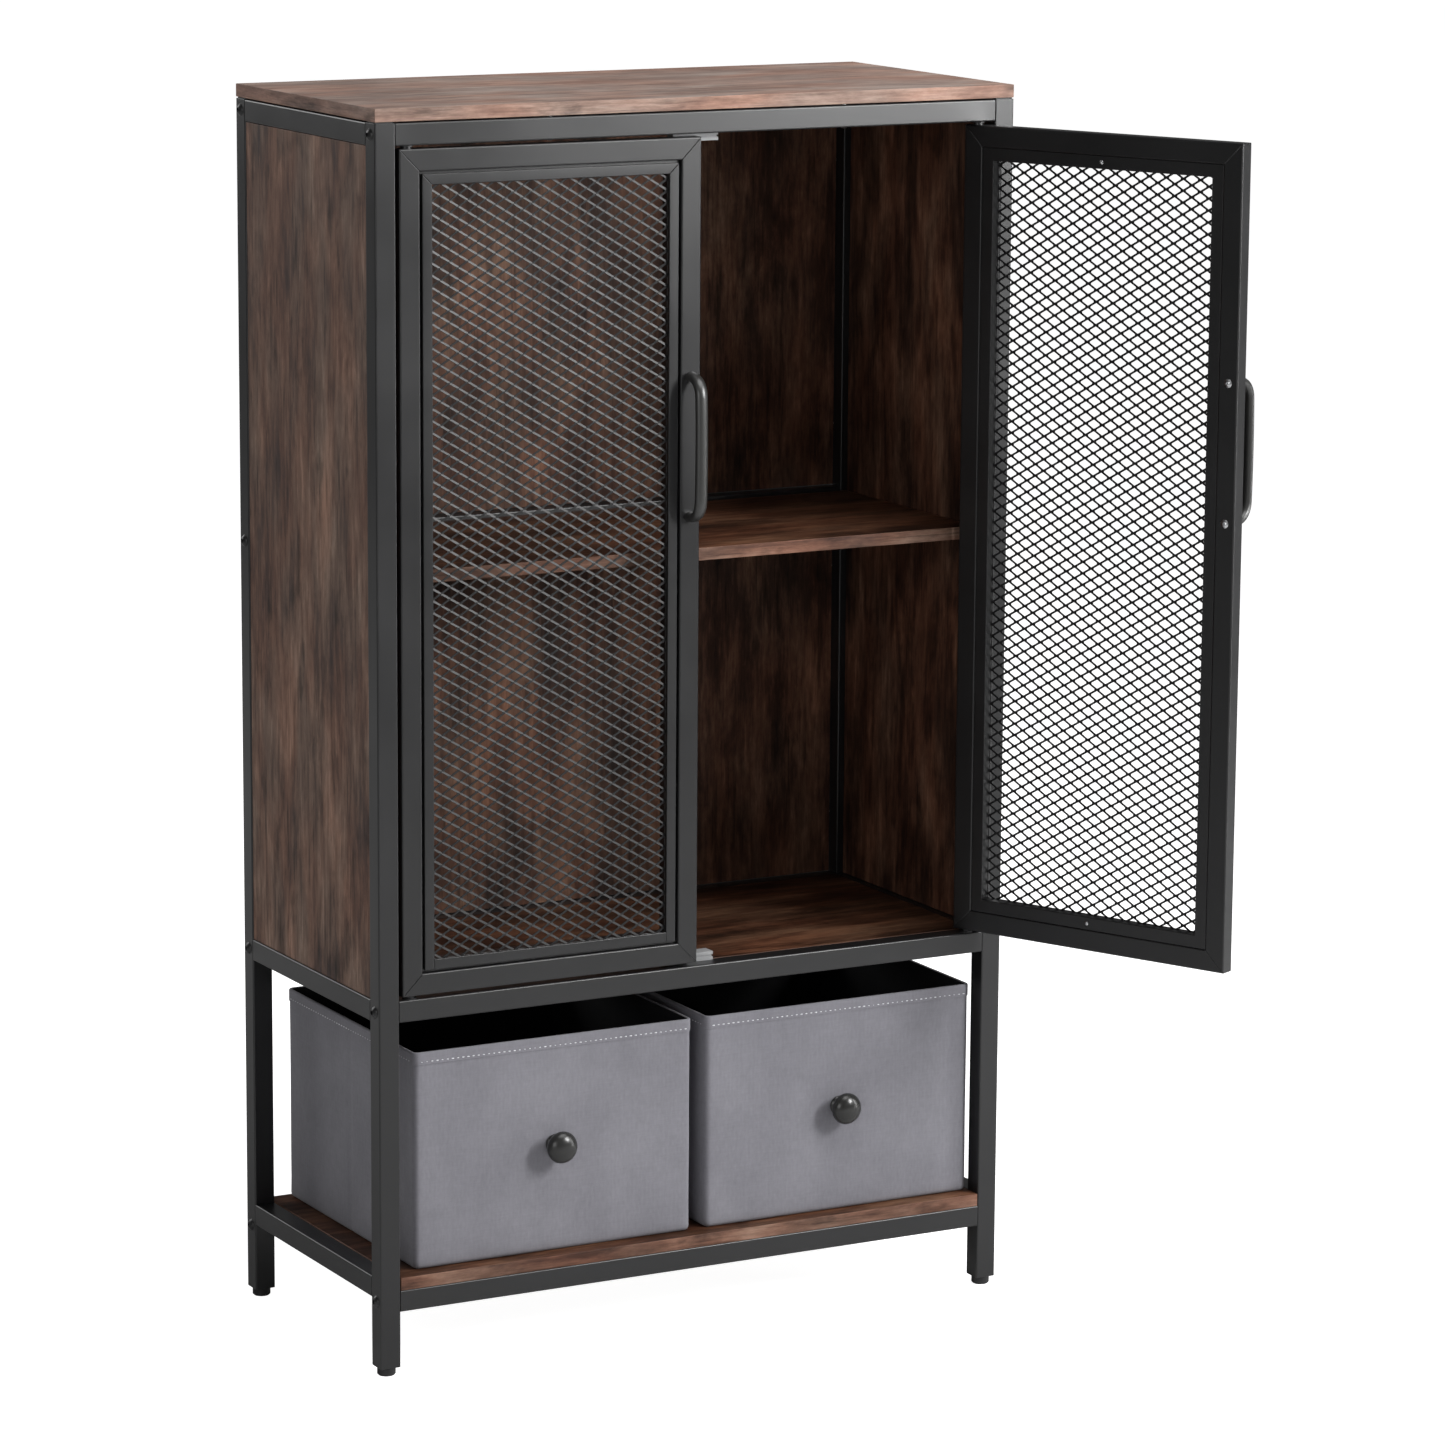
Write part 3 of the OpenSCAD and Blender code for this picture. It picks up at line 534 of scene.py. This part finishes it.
def expanded_mesh(side):
    """Expanded-metal sheet: one tilted ring of strands around each diamond opening."""
    inset = STRIP_INSET - MESH_MARGIN
    width = DOOR_W - 2 * inset
    height = DOOR_H - 2 * inset
    columns = int(width / DIAMOND_W)
    rows = int(height / DIAMOND_H)
    start_x = DOOR_W / 2 - columns * DIAMOND_W / 2
    start_z = DOOR_H / 2 - rows * DIAMOND_H / 2
    half_w = DIAMOND_W / 2
    half_h = DIAMOND_H / 2
    reach = half_w * half_h / math.hypot(half_w, half_h)
    shrink = 1 - STRAND_W / 2 / reach
    tip = half_w * shrink - KNOT
    rise = KNOT * half_h / half_w
    middle = BEAD_SETBACK + BEAD_T + STRAND_T / 2
    bm = bmesh.new()
    corners = {}

    def corner(i, j):
        if (i, j) not in corners:
            corners[i, j] = bm.verts.new((start_x + i * half_w, middle, start_z + j * half_h))
        return corners[i, j]

    for i in range(1, 2 * columns):
        for j in range(1, 2 * rows):
            if (i + j) % 2:
                continue
            x = start_x + i * half_w
            z = start_z + j * half_h
            right, left = corner(i + 1, j), corner(i - 1, j)
            top, bottom = corner(i, j + 1), corner(i, j - 1)
            hole = [
                bm.verts.new((x + dx, middle + tilt, z + dz))
                for dx, dz, tilt in (
                    (tip, -rise, -STRAND_TILT), (tip, rise, -STRAND_TILT),
                    (0, half_h * shrink, -STRAND_TILT),
                    (-tip, rise, STRAND_TILT), (-tip, -rise, STRAND_TILT),
                    (0, -half_h * shrink, STRAND_TILT),
                )
            ]
            bm.faces.new((right, hole[1], hole[0]))
            bm.faces.new((right, top, hole[2], hole[1]))
            bm.faces.new((top, left, hole[3], hole[2]))
            bm.faces.new((left, hole[4], hole[3]))
            bm.faces.new((left, bottom, hole[5], hole[4]))
            bm.faces.new((bottom, right, hole[0], hole[5]))
    bmesh.ops.recalc_face_normals(bm, faces=bm.faces)
    to_door(bm, side)
    obj = from_bmesh(f"door_{side}_expanded_mesh", bm, MATERIALS["mesh_steel"])
    solid = obj.modifiers.new("thickness", "SOLIDIFY")
    solid.thickness = STRAND_T
    solid.offset = 0
    apply_modifiers(obj)
    place(obj, f"door_{side}_mesh")


def handle_path():
    """Centre line of the handle as (out, up, tangent angle) from its middle, lower foot to upper foot."""
    bar = HANDLE_OUT - HANDLE_T / 2 - HANDLE_BOW
    straight = HANDLE_SPAN / 2 - HANDLE_BEND
    foot = bar - HANDLE_BEND
    points = [(foot * k / FOOT_STEPS, -HANDLE_SPAN / 2, 0.0) for k in range(FOOT_STEPS + 1)]
    for k in range(1, BEND_STEPS + 1):
        a = k / BEND_STEPS * math.pi / 2
        points.append((foot + HANDLE_BEND * math.sin(a), -straight - HANDLE_BEND * math.cos(a), a))
    lower_end = list(points)
    for k in range(1, 2 * BAR_STEPS):
        z = straight * (k / BAR_STEPS - 1)
        bow = HANDLE_BOW * (1 - (z / straight) ** 2)
        slope = -2 * HANDLE_BOW * z / straight ** 2
        points.append((bar + bow, z, math.pi / 2 - math.atan(slope)))
    for out, up, a in reversed(lower_end):
        points.append((out, -up, math.pi - a))
    return points


def handle(side):
    """Flat-oval bow bar with a small flared foot at each end."""
    x0 = DOOR_W - HANDLE_STILE
    z0 = DOOR_H - HANDLE_DROP
    bm = bmesh.new()
    rings = []
    path = handle_path()
    for n, (out, up, a) in enumerate(path):
        from_end = min(n, len(path) - 1 - n)
        flare = HANDLE_FLARE[min(from_end, 2)]
        ring = []
        for k in range(HANDLE_SIDES):
            t = k / HANDLE_SIDES * math.tau
            across = HANDLE_W / 2 * math.cos(t)
            deep = HANDLE_T / 2 * math.sin(t) * flare
            ring.append(bm.verts.new((
                x0 + across, -out + deep * math.sin(a), z0 + up + deep * math.cos(a)
            )))
        rings.append(ring)
    tube(bm, rings)
    bmesh.ops.recalc_face_normals(bm, faces=bm.faces)
    to_door(bm, side)
    obj = from_bmesh(f"door_{side}_bow_handle", bm, MATERIALS["handle_metal"])
    smooth(obj)
    place(obj, f"door_{side}_handle")


for side in ("left", "right"):
    for part in ("stile_hinge", "stile_latch", "rail_top", "rail_bottom", "mesh_frame"):
        eased_copy(f"door_{side}_{part}", MITRE_EASE)
    bead(side)
    expanded_mesh(side)
    handle(side)

# ---------------------------------------------------------------- fabric bins

BIN_WALL = 3.2 * MM
BIN_CORNER = 6.5 * MM
BIN_FOOT = 5 * MM
HEM_H = 12 * MM
HEM_STEP = 0.5 * MM
HEM_FOLD = 0.3 * MM
HEM_FOLD_INSET = HEM_STEP * 0.2
STITCH_DROP = 9 * MM
STITCH_PITCH = 5.2 * MM
STITCH_LENGTH = 3.2 * MM
STITCH_R = 0.55 * MM
SEAM_SETBACK = 8.5 * MM
SEAM_DEPTH = 1.3 * MM
SEAM_HALF = 1.6 * MM
CLOTH_WAVE = 0.6 * MM
WAVE_SLOW = (14, 8)
WAVE_QUICK = (34, 20)
WAVE_FADE_FOOT = 20 * MM
WAVE_FADE_HEM = 14 * MM
MIDDLE_SEAM = 0.7
MIN_CORNER = 0.6 * MM
SIDE_STEP = 4.5 * MM
CORNER_STEPS = 6
FOOT_ROWS = 5
WALL_ROWS = 34
HEM_ROWS = 4
LIP_ROWS = 6
LINING_ROWS = 12
# Shifts the cloth's waves, so that the two bins differ.
SALT = {"left": 3.7, "right": 11.3}


def rounded_outline(half_w, half_d, shrink=0.0):
    """Points (x, y, normal x, normal y) around a bin's rounded rectangle, counter-clockwise."""
    r = max(BIN_CORNER - shrink, MIN_CORNER)
    w = half_w - shrink
    d = half_d - shrink
    columns = round(2 * half_w / SIDE_STEP)
    rows = round(2 * half_d / SIDE_STEP)
    points = []
    corners = ((1, -1, -90, rows), (1, 1, 0, columns), (-1, 1, 90, rows), (-1, -1, 180, columns))
    for cx, cy, start, steps in corners:
        centre = (cx * (w - r), cy * (d - r))
        for k in range(CORNER_STEPS + 1):
            a = math.radians(start + 90 * k / CORNER_STEPS)
            nx, ny = math.cos(a), math.sin(a)
            points.append((centre[0] + r * nx, centre[1] + r * ny, nx, ny))
        from_x, from_y = points[-1][:2]
        length = 2 * ((d if abs(nx) > 0.5 else w) - r)
        for k in range(1, steps):
            along = length * k / steps
            points.append((from_x - ny * along, from_y + nx * along, nx, ny))
    return points


def seam(place_along, seam_at):
    """Depth of a sewn groove at a distance from the seam."""
    gap = abs(place_along - seam_at) / SEAM_HALF
    return SEAM_DEPTH * max(0.0, 1 - gap * gap) if gap < 1 else 0.0


def cloth_offset(x, y, z, nx, half_d, height, salt):
    """How far the cloth stands in from its flat wall at a point, always inwards."""
    across, upwards = WAVE_SLOW
    wave = noise.noise(Vector((x * across + salt, y * across, z * upwards)))
    across, upwards = WAVE_QUICK
    wave += 0.5 * noise.noise(Vector((x * across, y * across + salt, z * upwards)))
    inwards = CLOTH_WAVE * (0.5 + 0.5 * max(-1.0, min(1.0, wave)))
    inwards *= min(1.0, z / WAVE_FADE_FOOT, (height - z) / WAVE_FADE_HEM)
    if abs(nx) > 0.9:
        inwards += seam(y, -half_d + SEAM_SETBACK) + seam(y, half_d - SEAM_SETBACK)
        inwards += MIDDLE_SEAM * seam(y, 0.0)
    return inwards


def bin_levels(height):
    """Rows of the shell as (z, inset, part), up the outside, over the hem and down the lining."""
    levels = []
    for k in range(FOOT_ROWS + 1):
        a = math.radians(90 * k / FOOT_ROWS)
        levels.append((BIN_FOOT * (1 - math.cos(a)), BIN_FOOT * (1 - math.sin(a)) + HEM_STEP, "out"))
    hem = height - HEM_H
    for k in range(1, WALL_ROWS + 1):
        levels.append((BIN_FOOT + (hem - BIN_FOOT) * k / WALL_ROWS, HEM_STEP, "out"))
    levels.append((hem + HEM_FOLD, HEM_FOLD_INSET, "hem"))
    lip = BIN_WALL / 2
    for k in range(1, HEM_ROWS + 1):
        levels.append((hem + (HEM_H - lip) * k / HEM_ROWS, 0.0, "hem"))
    for k in range(1, LIP_ROWS):
        a = math.pi * k / LIP_ROWS
        levels.append((height - lip * (1 - math.sin(a)), lip * (1 - math.cos(a)), "hem"))
    for k in range(LINING_ROWS + 1):
        depth = (height - 2 * BIN_WALL) * k / LINING_ROWS
        levels.append((height - lip - depth, BIN_WALL, "lining"))
    return levels


STITCH_SIDES = 6
STITCH_SIZE = 0.8
STITCH_VARY = 0.5
STITCH_NOISE = 90
# Half of a stitch as (place along it, thickness, height), from its middle to its end.
STITCH_HALF = [(0.0, 1.0, 0.15), (0.6, 0.85, -0.1), (1.0, 0.35, -0.8)]
STITCH_SHAPE = [(-step, radius, lift) for step, radius, lift in STITCH_HALF[:0:-1]] + STITCH_HALF


def stitch(bm, middle, along, out, size):
    """One stitch: a short thread that dips into the cloth at both ends."""
    up = Vector((0, 0, 1))
    rings = []
    for step, radius, lift in STITCH_SHAPE:
        spot = middle + along * (step * size * STITCH_LENGTH / 2) + out * (lift * STITCH_R)
        r = radius * size * STITCH_R
        turns = [k / STITCH_SIDES * math.tau for k in range(STITCH_SIDES)]
        rings.append([
            bm.verts.new(spot + out * (r * math.cos(t)) + up * (r * math.sin(t))) for t in turns
        ])
    tube(bm, rings)


def stitches(side, centre, half_w, half_d, z):
    """A row of thread stitches around the hem."""
    outline = rounded_outline(half_w, half_d)
    bm = bmesh.new()
    walked = 0.0
    due = STITCH_PITCH / 2
    for a, b in zip(outline, outline[1:] + outline[:1]):
        run = Vector((b[0] - a[0], b[1] - a[1]))
        if run.length < 0.5 * SIDE_STEP:
            continue
        while due < walked + run.length:
            t = (due - walked) / run.length
            along = run.normalized()
            middle = Vector((centre.x + a[0] + run.x * t, centre.y + a[1] + run.y * t, z))
            size = STITCH_SIZE + STITCH_VARY * noise.noise(middle * STITCH_NOISE)
            stitch(bm, middle, Vector((along.x, along.y, 0)), Vector((a[2], a[3], 0)), size)
            due += STITCH_PITCH
        walked += run.length
    obj = from_bmesh(f"bin_{side}_stitches", bm, THREAD)
    smooth(obj, THREAD_ANGLE)
    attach(obj, f"bin_{side}")


def fabric_bin(side):
    """Sewn box: soft outer walls, a folded hem with stitches, a black lining and a closed floor."""
    node = f"bin_{side}_box"
    low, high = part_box(node)
    centre = (low + high) / 2
    half_w = (high.x - low.x) / 2
    half_d = (high.y - low.y) / 2
    height = high.z - low.z
    bm = bmesh.new()
    rings = []
    levels = bin_levels(height)
    for z, inset, part in levels:
        ring = []
        for x, y, nx, ny in rounded_outline(half_w, half_d, inset):
            move = 0.0
            if part == "out":
                move = cloth_offset(x, y, z, nx, half_d, height, SALT[side])
            ring.append(bm.verts.new((
                centre.x + x - nx * move, centre.y + y - ny * move, low.z + z
            )))
        rings.append(ring)
    for n, (a, b) in enumerate(zip(rings, rings[1:])):
        lining = levels[n + 1][2] == "lining"
        for k in range(len(a)):
            m = (k + 1) % len(a)
            face = bm.faces.new((a[k], a[m], b[m], b[k]))
            face.material_index = 1 if lining else 0
    bm.faces.new(list(reversed(rings[0])))
    bm.faces.new(rings[-1]).material_index = 1
    bmesh.ops.recalc_face_normals(bm, faces=bm.faces)
    obj = from_bmesh(f"bin_{side}_sewn_box", bm, MATERIALS["bin_fabric"], LINING)
    smooth(obj, SOFT_ANGLE)
    place(obj, node)
    stitches(side, centre, half_w, half_d, high.z - STITCH_DROP)


KNOB_SIDES = 64
KNOB_WALL = 3 * MM
# Outlines from the axis outwards and back, as (radius, distance along the axis) in millimetres.
KNOB_PROFILE = [
    (0.0, 0.0), (9.2, 0.0), (9.4, 0.6), (9.0, 1.5), (7.6, 2.3), (6.7, 3.6), (6.4, 5.8), (6.8, 8.2),
    (8.4, 10.2), (11.2, 11.4), (13.6, 12.2), (14.7, 13.3), (15.0, 14.8), (14.8, 16.4), (14.0, 18.2),
    (12.4, 20.0), (10.2, 21.6), (7.4, 22.9), (4.0, 23.7), (0.0, 24.0),
]
KNOB_SCREW = [
    (0.0, -3.2), (2.0, -3.2), (2.0, 0.0), (5.8, 0.0), (5.9, 0.3), (5.2, 1.0), (3.0, 1.6), (0.0, 1.8),
]


def lathe(bm, profile, start, direction):
    """Turns a profile of (radius, distance) millimetres around the Y axis."""
    turns = [k / KNOB_SIDES * math.tau for k in range(KNOB_SIDES)]
    rings = []
    for radius, distance in profile:
        y = start.y + direction * distance * MM
        if radius == 0:
            rings.append([bm.verts.new((start.x, y, start.z))])
            continue
        r = radius * MM
        rings.append([
            bm.verts.new((start.x + r * math.cos(t), y, start.z + r * math.sin(t))) for t in turns
        ])
    for a, b in zip(rings, rings[1:]):
        for k in range(KNOB_SIDES):
            m = (k + 1) % KNOB_SIDES
            if len(a) == 1:
                bm.faces.new((a[0], b[m], b[k]))
            elif len(b) == 1:
                bm.faces.new((a[k], a[m], b[0]))
            else:
                bm.faces.new((a[k], a[m], b[m], b[k]))


def knob(side):
    """Turned mushroom knob with the screw and washer head behind the bin's wall."""
    node = f"bin_{side}_knob"
    low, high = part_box(node)
    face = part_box(f"bin_{side}_box")[0].y
    middle = (low + high) / 2
    bm = bmesh.new()
    lathe(bm, KNOB_PROFILE, Vector((middle.x, face, middle.z)), -1)
    lathe(bm, KNOB_SCREW, Vector((middle.x, face + KNOB_WALL, middle.z)), 1)
    bmesh.ops.recalc_face_normals(bm, faces=bm.faces)
    obj = from_bmesh(f"bin_{side}_turned_knob", bm, MATERIALS["knob_metal"])
    smooth(obj, SOFT_ANGLE)
    place(obj, node)


for side in ("left", "right"):
    fabric_bin(side)
    knob(side)

# ---------------------------------------------------------------- studio

WHITE = (1, 1, 1, 1)
FLOOR_SIZE = 120.0
FLOOR_TONE = (0.65, 0.65, 0.65, 1)
FLOOR_GLOW = 0.95
WORLD_LIGHT = 0.11
WORLD_BACKDROP = 1.05
# Each light's place, the point that it aims at, its size and its power in watts.
LIGHTS = {
    "key": ((2.4, -2.6, 2.8), (0.0, 0.0, 0.6), (1.2, 1.2), 60),
    "top": ((0.7, -1.0, 3.2), (0.0, 0.0, 1.0), (2.4, 1.6), 45),
    "front": ((1.35, -2.0, 1.5), (0.0, 0.0, 1.1), (0.4, 0.8), 46),
    "side": ((2.6, -1.6, 0.9), (0.0, 0.0, 0.7), (0.3, 2.0), 26),
    "rear": ((-1.8, 3.2, 2.2), (0.0, 0.0, 0.7), (2.2, 2.2), 45),
    "fill": ((-3.2, -3.0, 1.6), (0.0, 0.0, 0.6), (2.0, 2.0), 34),
}
CAMERA_AT = (-2.385, -4.576, 1.566)
CAMERA_YAW = math.radians(28.55)
CAMERA_PITCH = math.radians(11.11)
CAMERA_ROLL = math.radians(0.39)
LENS = 139.5
SENSOR = 36.0


def area_light(name, position, aim, size, power):
    """A soft rectangular light that the camera doesn't see."""
    data = bpy.data.lights.new(name, "AREA")
    data.shape = "RECTANGLE"
    data.size, data.size_y = size
    data.energy = power
    obj = bpy.data.objects.new(name, data)
    bpy.context.scene.collection.objects.link(obj)
    obj.location = position
    obj.visible_camera = False
    obj.rotation_euler = (Vector(aim) - Vector(position)).to_track_quat("-Z", "Y").to_euler()


def studio_floor():
    """A pale floor that shows white to the camera."""
    bm = bmesh.new()
    bmesh.ops.create_grid(bm, x_segments=1, y_segments=1, size=FLOOR_SIZE / 2)
    s = Shader("studio_floor", roughness=0.9, specular=0.1)
    s.bsdf.inputs["Base Color"].default_value = FLOOR_TONE
    s.bsdf.inputs["Emission Color"].default_value = WHITE
    camera_ray = s.tree.nodes.new("ShaderNodeLightPath").outputs["Is Camera Ray"]
    s.link(s.math("MULTIPLY", camera_ray, FLOOR_GLOW), s.bsdf.inputs["Emission Strength"])
    floor = from_bmesh("studio_floor", bm, s.material)


def studio_world():
    """White to the camera and dimmer as a light."""
    world = bpy.data.worlds.new("studio")
    bpy.context.scene.world = world
    world.use_nodes = True
    tree = world.node_tree
    background = tree.nodes["Background"]
    background.inputs["Color"].default_value = WHITE
    path = tree.nodes.new("ShaderNodeLightPath")
    level = tree.nodes.new("ShaderNodeMapRange")
    level.inputs["To Min"].default_value = WORLD_LIGHT
    level.inputs["To Max"].default_value = WORLD_BACKDROP
    tree.links.new(path.outputs["Is Camera Ray"], level.inputs["Value"])
    tree.links.new(level.outputs["Result"], background.inputs["Strength"])


def camera():
    """The photograph's viewpoint."""
    data = bpy.data.cameras.new("camera")
    data.sensor_width = SENSOR
    data.lens = LENS
    obj = bpy.data.objects.new("camera", data)
    bpy.context.scene.collection.objects.link(obj)
    obj.matrix_world = (Matrix.Translation(CAMERA_AT) @ Matrix.Rotation(-CAMERA_YAW, 4, "Z")
                        @ Matrix.Rotation(math.pi / 2 - CAMERA_PITCH, 4, "X")
                        @ Matrix.Rotation(CAMERA_ROLL, 4, "Z"))
    bpy.context.scene.camera = obj


studio_floor()
studio_world()
for name, settings in LIGHTS.items():
    area_light(name, *settings)
camera()
bpy.context.scene.view_settings.view_transform = "Standard"

bpy.context.view_layer.update()
